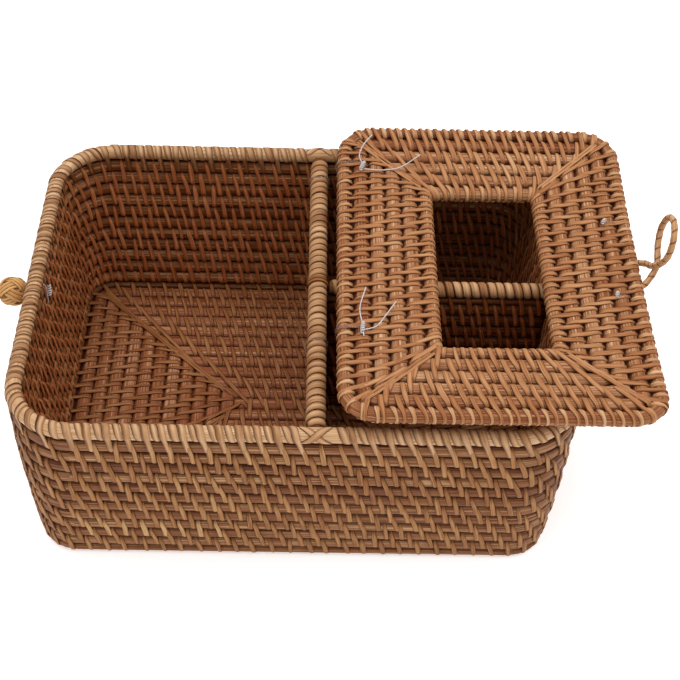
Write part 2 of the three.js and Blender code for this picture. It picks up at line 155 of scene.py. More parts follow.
def turned(facing, reach, along):
    """x and y of places on a side that faces an angle."""
    cos, sin = np.cos(facing), np.sin(facing)
    return cos * reach - sin * along, sin * reach + cos * along


def round_section(count, power=2.0):
    """Points round a rod's section, as shares of its half width and half thickness."""
    angle = np.linspace(0, 2 * np.pi, count, endpoint=False)
    across, height = -np.cos(angle), np.sin(angle)
    bulge = 2 / power
    return np.stack([np.sign(v) * np.abs(v) ** bulge for v in (across, height)], axis=-1)


PEEL_SECTION = np.array([[-1, -0.3], [-0.66, 0.62], [0, 1], [0.66, 0.62], [1, -0.3], [0, -0.7]])
ROD_SECTION = round_section(16, 2.6)
EDGE_SECTION = round_section(16)
LINE_SECTION = round_section(8)
# The usual painted shade along the two long sides of a strip
PLAIN_EDGE_SHADE = (0.5, 0.5)
UP = np.array([0, 0, 1.0])


def corner_places(u0, u1, v0, v1):
    """Map places of the four corners of each face."""
    return np.stack([u0, v0, u0, v1, u1, v1, u1, v0], axis=-1).reshape(-1, 2)


# A strand's cell of the bake map: its length fills the middle, and its ends are small discs beside it
CELL_MARGINS = (0.08, 0.06)
END_PLACES = (0.035, 0.965)
END_SIZE = (0.03, 0.2)


def in_cell(share, margin):
    return margin + (1 - 2 * margin) * share


class Weave:
    """Strands that become one piece."""

    def __init__(self):
        self.count = 0
        self.first = 0
        self.points, self.faces, self.sizes = [], [], []
        self.strand_uv, self.cell_uv, self.cell_of = [], [], []
        # depths holds the painted shade of each point
        self.tints, self.depths, self.seeds = [], [], []

    def add(
        self, paths, outward, width, thickness, section, painted_shade=0.0, tint=None, closed=False, edges=PLAIN_EDGE_SHADE
    ):
        """Strands along paths (strand, step, xyz), or one strand. outward is the side that the section's top
        faces. The painted shade, darkest in a pit, is one value, one for each step, or one for each step and
        side. The last argument is the painted shade along the two long sides of a strip."""
        if paths.ndim == 2:
            paths = paths[None]
        strands, steps = paths.shape[:2]
        sides = len(section)
        if closed:
            along = unit(np.roll(paths, -1, axis=1) - np.roll(paths, 1, axis=1))
        else:
            along = unit(np.gradient(paths, axis=1))
        across = unit(np.cross(along, np.broadcast_to(outward, paths.shape)))
        out = np.cross(across, along)
        width = np.broadcast_to(width, (strands, steps))[..., None] * section[:, 0]
        thickness = np.broadcast_to(thickness, (strands, steps))[..., None] * section[:, 1]
        rings = paths[:, :, None] + across[:, :, None] * width[..., None]
        rings = rings + out[:, :, None] * thickness[..., None]
        self.points.append(rings.reshape(-1, 3))
        self.add_faces(paths, sides, closed)

        tint = rng.random(strands) if tint is None else np.asarray(tint, dtype=float)
        if tint.ndim < 2:
            tint = tint.reshape(-1, 1)
        self.tints.append(np.repeat(np.broadcast_to(tint, (strands, steps)).ravel(), sides))
        self.seeds.append(np.repeat(rng.random(strands), steps * sides))
        painted_shade = np.asarray(painted_shade, dtype=float)
        if painted_shade.ndim == 1:
            painted_shade = painted_shade[:, None]
        # Painted shade along a strip's two long sides, for the shadow line where it meets the cane beside it
        painted_outline = 0.0
        if section is PEEL_SECTION:
            painted_outline = np.where(section[:, 0] < 0, *edges) * np.abs(section[:, 0]) ** 4
        self.depths.append(np.maximum(np.broadcast_to(painted_shade, (strands, steps, sides)), painted_outline).ravel())
        self.first += strands * steps * sides
        self.count += strands

    def add_faces(self, paths, sides, closed):
        """Faces along the strands and over their ends, with each corner's places in the two maps."""
        strands, steps = paths.shape[:2]
        index = self.first + np.arange(strands * steps * sides).reshape(strands, steps, sides)
        after = np.roll(index, -1, axis=1) if closed else index[:, 1:]
        before = index if closed else index[:, :-1]
        quads = np.stack([before, np.roll(before, -1, 2), np.roll(after, -1, 2), after], axis=-1)
        spans = before.shape[1]

        gaps = np.linalg.norm(np.diff(paths, axis=1, append=paths[:, :1]), axis=-1)
        start = np.concatenate([np.zeros((strands, 1)), np.cumsum(gaps, axis=1)], axis=1)
        u0 = np.broadcast_to(start[:, :spans, None], before.shape)
        u1 = np.broadcast_to(start[:, 1:spans + 1, None], before.shape)
        v0 = np.broadcast_to(np.arange(sides) / sides, before.shape)
        v1 = v0 + 1 / sides
        step = np.broadcast_to(np.arange(spans)[None, :, None] / spans, before.shape)
        along = [in_cell(share, CELL_MARGINS[0]) for share in (step, step + 1 / spans)]
        around = [in_cell(share, CELL_MARGINS[1]) for share in (v0, v1)]
        cell = self.count + np.arange(strands)
        self.faces.append(quads.ravel())
        self.sizes.append(np.full(quads.size // 4, 4))
        self.strand_uv.append(corner_places(u0, u1, v0, v1))
        self.cell_uv.append(corner_places(*along, *around))
        self.cell_of.append(np.repeat(cell, spans * sides * 4))
        if closed:
            return
        turn = 2 * np.pi * np.arange(sides) / sides
        disc = np.column_stack([np.cos(turn), np.sin(turn)]) * END_SIZE
        ends = [(index[:, 0, ::-1], start[:, 0]), (index[:, -1], start[:, steps - 1])]
        for (ring, distance), middle in zip(ends, END_PLACES):
            self.faces.append(ring.ravel())
            self.sizes.append(np.full(strands, sides))
            self.strand_uv.append(np.column_stack([np.repeat(distance, sides), np.full(ring.size, 0.5)]))
            self.cell_uv.append(np.tile(disc + (middle, 0.5), (strands, 1)))
            self.cell_of.append(np.repeat(cell, sides))

    def piece(self, name, material, slot, nodes=(), columns=None, body="basket"):
        """Makes the mesh, gives each strand its own cell of the bake map, and ties it to its body."""
        points = np.concatenate(self.points) / MM_PER_METRE
        faces = np.concatenate(self.faces)
        sizes = np.concatenate(self.sizes)
        mesh = bpy.data.meshes.new(name)
        mesh.vertices.add(len(points))
        mesh.vertices.foreach_set("co", points.ravel())
        mesh.loops.add(len(faces))
        mesh.loops.foreach_set("vertex_index", faces.astype(np.int32))
        mesh.polygons.add(len(sizes))
        mesh.polygons.foreach_set("loop_start", (np.cumsum(sizes) - sizes).astype(np.int32))
        columns = columns or math.ceil(math.sqrt(self.count))
        rows = math.ceil(self.count / columns)
        cell = np.concatenate(self.cell_of)
        corner = np.stack([cell % columns, cell // columns], axis=-1)
        bake_uv = (corner + np.concatenate(self.cell_uv)) / (columns, rows)
        for title, places in (("Strand", np.concatenate(self.strand_uv)), ("OFBake", bake_uv)):
            mesh.uv_layers.new(name=title).uv.foreach_set("vector", places.ravel())
        for attribute, values in (("tint", self.tints), ("painted_shade", self.depths), ("seed", self.seeds)):
            layer = mesh.attributes.new(attribute, "FLOAT", "POINT")
            layer.data.foreach_set("value", np.concatenate(values))
        mesh.update(calc_edges=True)
        mesh.shade_smooth()
        mesh.uv_layers["Strand"].active_render = True
        mesh.materials.append(material)
        thing = bpy.data.objects.new(name, mesh)
        bpy.context.collection.objects.link(thing)
        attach(thing, body)
        if nodes:
            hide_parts(*nodes)


def numbered(name, last):
    return [f"{name}_{number:02d}" for number in range(1, last + 1)]


# Materials: colours go from the darkest to the palest streaks

COLOUR_PLACES = (0.0, 0.35, 0.65, 1.0)
# The colour that multiplies the cane where shade is painted on it: in pits, in gaps and along strip sides
PAINTED_SHADE_COLOUR = (0.22, 0.09, 0.025, 1)
ROUGHNESS = (0.42, 0.66)
BUMP_STRENGTH = 0.6
BUMP_METRES = 0.0003
BLOTCHES = 0.5
ROD_FIBRES = 36.0
STRIP_FIBRES = 9.0
ROD_GRAIN = 2.1
STRIP_GRAIN = 1.3


def new_material(name):
    material = bpy.data.materials.new(name)
    material.use_nodes = True
    return material


def fill(node, inputs):
    """Sets a node's inputs: a socket is linked, and anything else is the input's own value."""
    for key, value in inputs.items():
        if isinstance(value, bpy.types.NodeSocket):
            node.id_data.links.new(value, node.inputs[key])
        else:
            node.inputs[key].default_value = value


def add_node(tree, kind, inputs, **settings):
    node = tree.nodes.new(kind)
    for name, value in settings.items():
        setattr(node, name, value)
    fill(node, inputs)
    return node


def add_ramp(tree, value, places, colours):
    ramp = add_node(tree, "ShaderNodeValToRGB", {0: value})
    elements = ramp.color_ramp.elements
    while len(elements) < len(places):
        elements.new(0.5)
    for element, place, colour in zip(elements, places, colours):
        element.position = place
        element.color = (*[(c / 255) ** 2.2 for c in colour], 1)
    return ramp.outputs[0]


def cane_material(name, colours, fibres=ROD_FIBRES, grain=ROD_GRAIN, own=0.3):
    """Cane with streaks along each strand, blotches, a tint of its own for each strand, and painted shade:
    darker in pits, in gaps and along strip sides, where shade falls.
    """
    material = new_material(name)
    tree = material.node_tree

    def math_node(operation, first, second):
        return add_node(tree, "ShaderNodeMath", {0: first, 1: second}, operation=operation).outputs[0]

    def read(attribute):
        return add_node(tree, "ShaderNodeAttribute", {}, attribute_name=attribute).outputs["Fac"]

    strand = add_node(tree, "ShaderNodeUVMap", {}, uv_map="Strand")
    along_strand, around_strand, _ = add_node(tree, "ShaderNodeSeparateXYZ", {0: strand.outputs[0]}).outputs
    tint, painted_shade, own_seed = read("tint"), read("painted_shade"), read("seed")

    def noise(along, around, seed, detail):
        scales = (along_strand, along), (around_strand, around), (own_seed, seed)
        scaled = {axis: math_node("MULTIPLY", *scale) for axis, scale in enumerate(scales)}
        place = add_node(tree, "ShaderNodeCombineXYZ", scaled).outputs[0]
        inputs = {"Scale": 1.0, "Detail": detail, "Vector": place}
        return add_node(tree, "ShaderNodeTexNoise", inputs).outputs["Fac"]

    streaks = noise(along=0.02, around=fibres, seed=57.0, detail=3.0)
    blotches = noise(along=0.11, around=2.0, seed=91.0, detail=2.0)
    value = math_node("ADD", math_node("MULTIPLY", tint, own), math_node("MULTIPLY", streaks, grain))
    value = math_node("ADD", value, math_node("MULTIPLY", blotches, BLOTCHES))
    value = math_node("SUBTRACT", value, (grain + own - 0.5) / 2)
    streaked = add_ramp(tree, value, COLOUR_PLACES, colours)
    # Painted shade: the streaked colour is darkened by the painted shade of each point
    mixed = {"Factor": math_node("MINIMUM", painted_shade, 1.0), "A": streaked, "B": PAINTED_SHADE_COLOUR}
    shadow = add_node(tree, "ShaderNodeMix", mixed, data_type="RGBA", blend_type="MULTIPLY")
    smooth, coarse = ROUGHNESS
    rough = add_node(tree, "ShaderNodeMapRange", {"Value": streaks, "To Min": smooth, "To Max": coarse})
    relief = {"Strength": BUMP_STRENGTH, "Distance": BUMP_METRES, "Height": streaks}
    raised = add_node(tree, "ShaderNodeBump", relief)
    looks = {
        "Specular IOR Level": 0.2,
        "Base Color": shadow.outputs["Result"],
        "Roughness": rough.outputs[0],
        "Normal": raised.outputs[0],
    }
    fill(tree.nodes["Principled BSDF"], looks)
    return material


def strip_material(name, colours):
    """Split cane, with broader and fainter streaks than a rod."""
    return cane_material(name, colours, STRIP_FIBRES, STRIP_GRAIN)


rod_cane = cane_material("rod_cane", [(76, 34, 12), (117, 67, 33), (140, 91, 53), (190, 148, 105)])
strip_cane = strip_material("strip_cane", [(98, 51, 20), (143, 91, 48), (170, 120, 73), (205, 164, 113)])
# Lighter and more orange than strip_cane, for the strips inside the box and on the dividers: painted light,
# for the light that falls on the inner walls
inner_strip_painted_light = strip_material("inner_strip_painted_light", [(116, 54, 23), (169, 95, 53), (197, 123, 78), (226, 165, 117)])
floor_cane = cane_material("floor_cane", [(94, 40, 18), (134, 74, 43), (158, 99, 66), (200, 152, 115)])
floor_strip = strip_material("floor_strip", [(96, 47, 19), (140, 85, 46), (162, 109, 68), (194, 149, 105)])
rim_cane = cane_material("rim_cane", [(144, 92, 52), (190, 144, 101), (204, 162, 120), (225, 190, 151)], 40.0)
rim_strip = strip_material("rim_strip", [(134, 82, 46), (184, 136, 94), (206, 162, 120), (228, 191, 150)])
lid_cane = cane_material("lid_cane", [(102, 46, 20), (138, 82, 47), (165, 114, 77), (209, 167, 128)], own=0.6)
lid_strip = strip_material("lid_strip", [(124, 66, 32), (164, 106, 65), (189, 136, 92), (216, 175, 133)])
knob_cane = strip_material("knob_cane", [(150, 94, 46), (198, 144, 84), (216, 166, 106), (236, 196, 144)])


def nylon_material(name, clearness):
    material = new_material(name)
    tree = material.node_tree
    texture = add_node(tree, "ShaderNodeTexNoise", {"Scale": 400.0})
    colour = add_ramp(tree, texture.outputs["Fac"], (0.3, 0.7), [(214, 206, 204), (246, 242, 240)])
    looks = {"Roughness": 0.2, "IOR": 1.3, "Transmission Weight": clearness, "Base Color": colour}
    fill(tree.nodes["Principled BSDF"], looks)
    return material


nylon = nylon_material("nylon_line", 0.3)
clear_nylon = nylon_material("nylon_clear", 0.94)


# Places on the walls: loop positions run from 0 to 8, a straight and a corner for each side


def wall_line(z):
    """Half length, half depth and corner radius of the wall's middle at a height."""
    share = np.clip(z / RIM_Z, 0, 1.1)
    lean = WALL_TAPER * np.maximum(1 - share, 0) ** WALL_BELLY
    return RIM_HALF_LENGTH - lean, RIM_HALF_DEPTH - lean, BASE_CORNER + share * (RIM_CORNER - BASE_CORNER)


def wall_place(position, z, out):
    """Points at loop positions, heights and distances outwards, and the directions outwards."""
    half_x, half_y, radius = wall_line(z)
    part = np.floor(position).astype(int) % 8
    share = position - np.floor(position)
    quarter = part // 2
    straight = part % 2 == 0
    facing = (quarter - 1) * np.pi / 2
    lengthwise = quarter % 2 == 0
    run = np.where(lengthwise, half_x, half_y) - radius
    reach = np.where(lengthwise, half_y, half_x) - radius
    turn = np.where(straight, 0, share * np.pi / 2)
    along = np.where(straight, (2 * share - 1) * run, run)
    normal = np.stack([np.cos(facing + turn), np.sin(facing + turn), np.zeros_like(turn)], axis=-1)
    x, y = turned(facing, reach, along)
    middle = np.stack([x, y, np.broadcast_to(z, x.shape)], axis=-1)
    return middle + normal * (radius + out)[..., None], normal


def loop_parts(z):
    """Where each part of the loop starts, along the wall at a height, and the whole length."""
    half_x, half_y, radius = wall_line(z)
    corner = np.pi * radius / 2
    parts = [2 * (half_x - radius), corner, 2 * (half_y - radius), corner] * 2
    return running_total(parts)


WALL_STARTS = loop_parts(RIM_Z / 2)
PART_SPACINGS = np.repeat(WALL_SPACINGS, 2)
PART_SPACINGS[1::2] = (PART_SPACINGS[0::2] + np.roll(PART_SPACINGS[0::2], -1)) / 2
STITCH_STARTS = running_total(np.diff(WALL_STARTS) / PART_SPACINGS)
STITCH_COUNT = round(STITCH_STARTS[-1])
STITCH_STARTS *= STITCH_COUNT / STITCH_STARTS[-1]


def stitch_distance(number):
    """How far along the wall a stitch is, counted round the loop. A part of a stitch counts too."""
    return np.interp(np.mod(number, STITCH_COUNT), STITCH_STARTS, WALL_STARTS)


def loop_position(distance):
    return np.interp(np.mod(distance, WALL_STARTS[-1]), WALL_STARTS, np.arange(9.0))


def course_z(course):
    return FIRST_COURSE_Z + (course - 1) * COURSE_PITCH


# Stitches: profiles are (distance across the rows, height above the rods' middles)


def tuck(row, half, lift, sign):
    """From between two rods up to the top of one. sign is -1 before the row and 1 after it."""
    return [
        (row + sign * (half + 0.15), lift * 0.12),
        (row + sign * half * 0.84, lift * 0.66),
        (row + sign * half * 0.42, lift * 0.96),
    ]


def sunk(row, half, lift, sign):
    """Out of the rod itself, for a strip that ends on it."""
    return [
        (row + sign * half * 0.5, lift * 0.55),
        (row + sign * half * 0.4, lift * 0.8),
        (row + sign * half * 0.25, lift * 0.97),
    ]


def edge(reach, wrap):
    """Round the outside of the last rod, at a reach from its middle, from wrap degrees round it."""

    def profile(row, half, lift, sign):
        turns = np.radians(np.linspace(wrap, 122, 5))
        return [(row - sign * reach * math.cos(t), lift * math.sin(t)) for t in turns]

    return profile


def across_share(profile):
    """How far across its rows each point of a stitch is, from 0 to 1."""
    return (profile[:, 0] - profile[0, 0]) / (profile[-1, 0] - profile[0, 0])


def profile_normals(profile):
    slope = np.gradient(profile, axis=0)
    return unit(np.stack([-slope[:, 1], slope[:, 0]], axis=-1))


def stitch_profile(first, last, half, lift, start=tuck, end=tuck):
    """A stitch from one row to another: its profile, normals, painted shade where it dives into a pit, and
    widths as shares.
    """
    points = start(first, half, lift, -1)
    points.append((first + half * 0.1, lift * 1.01))
    if last > first:
        points += [(first + half * 0.6, lift * 0.97), (last - half * 0.6, lift * 0.97)]
        points.append((last - half * 0.1, lift * 1.01))
    points.extend(end(last, half, lift, 1)[::-1])
    profile = np.array(points)
    # Painted shade at the tucked ends, where the strip dives between rods into shade
    painted_shade = np.zeros(len(profile))
    for index, shade in ((0, 1.0), (1, 0.45), (2, 0.08)):
        if start is tuck:
            painted_shade[index] = shade
        if end is tuck:
            painted_shade[-1 - index] = shade
    taper = np.interp(across_share(profile), [0, 0.3, 0.9, 1], [0.6, 1, 1, 0.85])
    return profile, profile_normals(profile), painted_shade, taper


def sideways(profile, lean):
    """How far each point of a stitch lies along the row from its middle: steepest where it starts."""
    share = across_share(profile)
    span = profile[-1, 0] - profile[0, 0]
    return lean[:, None] * span * (1.5 * share - 0.5 * share**2 - 0.625)


def strand_tints(count):
    """Stitches next to each other come from one strand, so runs of them share a tint."""
    tints = np.zeros(count)
    first = 0
    while first < count:
        last = first + rng.integers(7, 24)
        tints[first:last] = rng.normal(0.5, 0.24)
        first = last
    return np.clip(tints + rng.normal(0, 0.08, count), 0, 1)


def strip_widths(count, taper, half_width=STRIP_HALF_WIDTH):
    return half_width * rng.normal(1.0, 0.09, count).clip(0.78, 1.22)[:, None] * taper


def sew(weave, paths, outward, painted_shade, taper, tone=0.0, half_width=STRIP_HALF_WIDTH, pale=None):
    """Adds stitches. tone makes all of them paler or darker, and pale picks out some."""
    widths = strip_widths(len(paths), taper, half_width)
    tints = strand_tints(len(paths)) + tone
    if pale is not None:
        tints[pale] = PALE_TINT
    weave.add(paths, outward, widths, STRIP_HALF_THICKNESS, PEEL_SECTION, painted_shade, tints)


def wall_stitches(weave, side):
    """All rows of stitches on one side of the wall: 1 is outside, -1 inside."""
    usual_lean, set_shift = (OUTSIDE_LEAN, OUTSIDE_SHIFT) if side > 0 else (INSIDE_LEAN, INSIDE_SHIFT)
    for row in range(WALL_COURSES):
        upper, lower = course_z(row + 1), course_z(row) if row else BASE_Z
        end = edge(BASE_Z - 1.3 * STRIP_HALF_THICKNESS, 222) if row == 0 and side > 0 else tuck
        if row == 0 and side < 0:
            lower = upper
        profile, normal, painted_shade, taper = stitch_profile(
            -upper, -lower, WALL_STITCH_HALF, WALL_STITCH_LIFT, end=end
        )
        shift = side * set_shift * (WALL_COURSES - row)
        start = stitch_distance(np.arange(STITCH_COUNT) + shift) + rng.normal(0, 0.45, STITCH_COUNT)
        lean = side * (usual_lean + rng.normal(0, 0.045, STITCH_COUNT))
        distance = start[:, None] + sideways(profile, lean)
        proud = rng.normal(0, 0.06, STITCH_COUNT)[:, None]
        out = side * (profile[:, 1] + proud * (profile[:, 1] > 2))
        paths, facing = wall_place(loop_position(distance), -profile[:, 0], out)
        outward = side * facing * normal[:, 1:2] - UP * normal[:, 0:1]
        x, y, _ = paths[:, len(profile) // 2].T
        pale = (np.abs(x - PALE_X) < PALE_REACH) & (y < 0) & (side > 0) & (row == PALE_ROW)
        sew(weave, paths, outward, painted_shade, taper, pale=pale)


# Painted shade round a rod's section: darkest on the sides that meet the next rods, where shade falls between
# them. The inner and outer kinds paint only one side.
ROD_ACROSS, ROD_HEIGHT = ROD_SECTION[None, :, 0], ROD_SECTION[None, :, 1]
ROD_PAINTED_SHADE = np.abs(ROD_ACROSS) ** 5
WALL_PAINTED_SHADE = np.abs(ROD_ACROSS) ** np.where(ROD_HEIGHT > 0, 3.4, 9.0)
INNER_SIDE_PAINTED_SHADE = np.where(ROD_ACROSS < 0, ROD_PAINTED_SHADE, 0)
OUTER_SIDE_PAINTED_SHADE = np.where(ROD_ACROSS > 0, ROD_PAINTED_SHADE, 0)


def wall_rod(weave, z, half_height, half_thickness, section=ROD_SECTION, painted_shade=WALL_PAINTED_SHADE, tint=None):
    """A hoop round the wall at a height."""
    steps = np.concatenate([np.arange(part, part + 1, 1 / 10) for part in range(8)])
    wobble = np.cumsum(rng.normal(0, 0.03, len(steps)))
    wobble -= np.linspace(wobble[0], wobble[-1], len(steps))
    path, facing = wall_place(steps, z, np.clip(wobble, -0.15, 0.15))
    weave.add(path, facing, half_height, half_thickness, section, painted_shade, tint, closed=True)


def make_walls():
    """Rods, dark strands behind the gaps between them that paint the shade in those gaps, and the sewing on
    both sides.
    """
    half_height, half_thickness = COURSE_PITCH / 2 - 0.2, 2.95
    rods = Weave()
    for course in range(1, WALL_COURSES + 1):
        wall_rod(rods, course_z(course), half_height, half_thickness)
    # Dark strands in the gaps between the courses: painted shade
    for gap in range(WALL_COURSES + 1):
        wall_rod(rods, course_z(gap + 0.5), WALL_GAP_SHADE_STRAND, WALL_GAP_SHADE_STRAND, painted_shade=1.0)
    nodes = numbered("wall_course", WALL_COURSES)
    rods.piece("wall_rods", rod_cane, "cane_rod", nodes, columns=1)
    sides = ((1, "wall_stitches_outside", strip_cane), (-1, "wall_stitches_inside", inner_strip_painted_light))
    for side, name, material in sides:
        strips = Weave()
        wall_stitches(strips, side)
        strips.piece(name, material, "cane_peel")


# Rim


def rim_profile(lift):
    """Over the rim from the inside and down over the course below it, as (distance outwards, height). Also
    gives which points are at the rim's front and at its top."""
    turns = np.radians(np.arange(240, -31, -15))
    over = [(lift * math.cos(t), RIM_Z + lift * math.sin(t)) for t in turns]
    rod = course_z(WALL_COURSES)
    below = [(3.2, rod + 3.2), (3.25, rod + 1.0), (3.2, rod - 1.2), (2.3, rod - 3.1), (0.4, rod - 4.05)]
    return np.array(over + below), np.argmin(np.abs(turns)), np.argmin(np.abs(turns - np.pi / 2))


def rim_strips(weave, side, offset):
    """Binding that goes over the rim and ends over the course below it: on the outside where side is 1, and
    on the inside where it is -1. offset is in stitches."""
    lift = RIM_RADIUS - STRIP_HALF_THICKNESS * (1.0 if side > 0 else 1.5)
    profile, front, top = rim_profile(lift)
    normal = profile_normals(profile)
    lengths = lengths_along(profile)
    # Painted shade at both ends, where the strip tucks under into shade
    painted_shade = np.zeros(len(profile))
    painted_shade[:2] = 1.0, 0.3
    painted_shade[-2:] = 0.45, 1.0
    start = stitch_distance(np.arange(STITCH_COUNT) + offset) + rng.normal(0, 0.3, STITCH_COUNT)
    lean = side * (OUTSIDE_LEAN + rng.normal(0.06, 0.035, STITCH_COUNT))
    distance = start[:, None] + lean[:, None] * (lengths - lengths[front])
    distance -= side * 0.12 * np.clip(lengths[top] - lengths, 0, None)
    paths, facing = wall_place(loop_position(distance), profile[:, 1], side * profile[:, 0])
    outward = side * facing * -normal[:, 0:1] - UP * normal[:, 1:2]
    lashed = np.zeros(STITCH_COUNT, dtype=bool)
    for x, y in ((DIVIDER_X, -RIM_HALF_DEPTH), (DIVIDER_X, RIM_HALF_DEPTH), (RIM_HALF_LENGTH, 0)):
        lashed |= np.hypot(paths[:, top, 0] - x, paths[:, top, 1] - y) < LASHED_LENGTH
    taper = np.interp(profile[:, 1], [RIM_Z - 3, RIM_Z + 2], [1.0, 1.4]) - 0.3 * painted_shade
    widths = strip_widths(STITCH_COUNT, taper)
    tints = strand_tints(STITCH_COUNT)[:, None] - 0.1 * side - 0.05
    # Inside the rim the strips darken as they go down into the box: painted shade, for the shade inside it
    if side < 0:
        tints = tints - np.interp(lengths - lengths[front], [0, 4], [0, 1.7])
    # Painted shade along one edge of each strip, for the shadow line where the strips meet, made stronger on
    # the outside strips where the rim is seen lengthwise
    lengthwise = np.abs(paths[:, top, 0]) > RIM_HALF_LENGTH - 0.6 * RIM_CORNER
    for part, dark in ((~lengthwise, 0.7), (lengthwise, 1.35 if side > 0 else 0.7)):
        part = part & ~lashed
        strands = paths[part], outward[part], widths[part]
        edges = (dark, 0.1) if side > 0 else (0.1, dark)
        weave.add(*strands, STRIP_HALF_THICKNESS, PEEL_SECTION, painted_shade, tints[part], edges=edges)


def make_rim():
    rod = Weave()
    radius = RIM_RADIUS - 0.6
    wall_rod(rod, RIM_Z, radius, radius, round_section(20), painted_shade=0.0, tint=0.7)
    rod.piece("rim_rod", rim_cane, "rim_cane", ["rim_hoop"], columns=1)
    strips = Weave()
    rim_strips(strips, 1, 0.0)
    rim_strips(strips, -1, RIM_INNER_OFFSET)
    strips.piece("rim_binding", rim_strip, "cane_peel")


# Flat panels: four sides, each with a distance along it and a depth in from its outer line


def rise(y, bow):
    return bow * np.abs(y / RIM_HALF_DEPTH) ** LID_BOW_POWER


class Panel(NamedTuple):
    """A mitred panel of coiled rods. Rows are depths in from the outer line."""

    centre: tuple
    half: tuple
    corner: float
    half_rod: float
    half_width: float
    z: float
    spacing: float
    bow: float = 0.0
    strip: float = STRIP_HALF_WIDTH

    def height(self, flat):
        """Height of the rods' middles at points in the plane."""
        return self.z + rise(flat[..., 1], self.bow)

    def side_length(self, side):
        return 2 * self.half[side % 2]

    def place(self, side, along, depth):
        """Points in the plane, with the corners rounded by what is left of the outer radius."""
        length = self.side_length(side)
        from_end = np.minimum(along, length - along)
        first_half = along < length - along
        radius = np.maximum(self.corner - depth, 1e-6)
        bent = np.clip(1 - (from_end - depth) / radius, 0, 1) * np.pi / 4
        inside = from_end < depth + radius
        kept = np.where(inside, depth + radius * (1 - np.sin(bent)), from_end)
        depth = np.where(inside, depth + radius * (1 - np.cos(bent)), depth)
        along = np.where(first_half, kept, length - kept) - length / 2
        reach = self.half[1 - side % 2] - depth
        return np.stack(turned((side - 1) * math.pi / 2, reach, along), axis=-1) + self.centre

    def inward(self, side, along, depth):
        ahead = self.place(side, along, depth + 0.05)
        behind = self.place(side, along, depth - 0.05)
        return unit(ahead - behind)

    def rod(self, weave, depth, half_width, half_height, painted_shade, tints=(0.5,) * 4, section=ROD_SECTION):
        """A rod with a tint for each side."""
        loop, wide, shades = [], [], []
        for side in range(4):
            length = self.side_length(side)
            share = np.linspace(0, 1, 25)[:-1]
            share = 0.5 - 0.5 * np.cos(np.pi * share)
            along = depth + share * (length - 2 * depth)
            loop.append(self.place(side, along, depth))
            sharp = depth > self.corner - 2
            wide.append(np.where((share == 0) & sharp, math.sqrt(2), 1.0))
            before, here, after = tints[side - 1], tints[side], tints[(side + 1) % 4]
            blend = [(before + here) / 2, here, here, (here + after) / 2]
            shades.append(np.interp(share, [0, 0.12, 0.88, 1], blend))
        flat = np.concatenate(loop)
        path = np.column_stack([flat, self.height(flat)])
        width = half_width * np.concatenate(wide)
        shade = np.concatenate(shades)[None]
        weave.add(path, UP, width, half_height, section, painted_shade, shade, closed=True)

    def stitches(self, weave, face, sets):
        """face is 1 for the top and -1 for the underside. Each of sets is a first row, a last row, how a
        stitch starts, how it ends, and its tone."""
        lift = self.half_rod + STRIP_HALF_THICKNESS * 0.7
        set_shifts = TOP_SHIFTS if face > 0 else UNDER_SHIFTS
        for index, (first, last, start, end, tone) in enumerate(sets):
            profile, normal, painted_shade, taper = stitch_profile(first, last, self.half_width, lift, start, end)
            middle = (first + last) / 2
            for side in range(4):
                length = self.side_length(side)
                if length - 2 * middle < self.spacing * 0.5:
                    continue
                shift = -face * set_shifts[side % 2] * index * self.spacing
                begin = middle + np.mod(shift - middle, self.spacing)
                place = np.arange(begin, length - middle - 0.4, self.spacing)
                place = place + rng.normal(0, 0.25, len(place))
                place = np.clip(place, middle + 0.4, length - middle - 0.4)
                from_start, from_end = place - middle, length - middle - place
                fan_start = 0.45 * np.clip(1 - from_start / FAN_LENGTH, 0, 1) ** 1.5
                fan_end = np.clip(1 - from_end / FAN_LENGTH, 0, 1) ** 1.5
                lean = -face * (PANEL_LEANS[side % 2] + rng.normal(0, 0.03, len(place)))
                lean *= np.clip(1 - fan_start - fan_end, 0, 1)
                fan = (fan_start - fan_end)[:, None] * (profile[:, 0] - middle)
                along = place[:, None] + sideways(profile, lean) + fan
                flat = self.place(side, along, profile[:, 0])
                inward = self.inward(side, along, profile[:, 0])
                proud = 1 + rng.normal(0, 0.015, len(place))[:, None]
                z = self.height(flat) + face * profile[:, 1] * np.where(profile[:, 1] > 2, proud, 1)
                paths = np.concatenate([flat, z[..., None]], axis=-1)
                up = np.broadcast_to(face * normal[:, 1:2], (*flat.shape[:2], 1))
                outward = np.concatenate([inward * normal[:, 0:1], up], axis=-1)
                sew(weave, paths, outward, painted_shade, taper, tone, self.strip)

    def mitre_strands(self, weave, face, start, end):
        """Two long strands laid down each mitre."""
        lift = self.half_rod + STRIP_HALF_THICKNESS
        depth = np.linspace(start, end, 22)
        ripple = 0.1 * np.sin(depth / self.half_width * np.pi)
        for side in range(4):
            for apart in (-0.6, 1.9):
                bow = 0.9 * np.sin(np.linspace(0, np.pi, 22)) * rng.normal(0.6, 0.5)
                flat = self.place(side, depth + apart + bow, depth)
                z = self.height(flat) + face * (lift + ripple)
                z[[0, -1]] -= face * lift * 0.55
                path = np.column_stack([flat, z])
                weave.add(path, face * UP, STRIP_HALF_WIDTH * 0.65, STRIP_HALF_THICKNESS * 0.8, PEEL_SECTION)


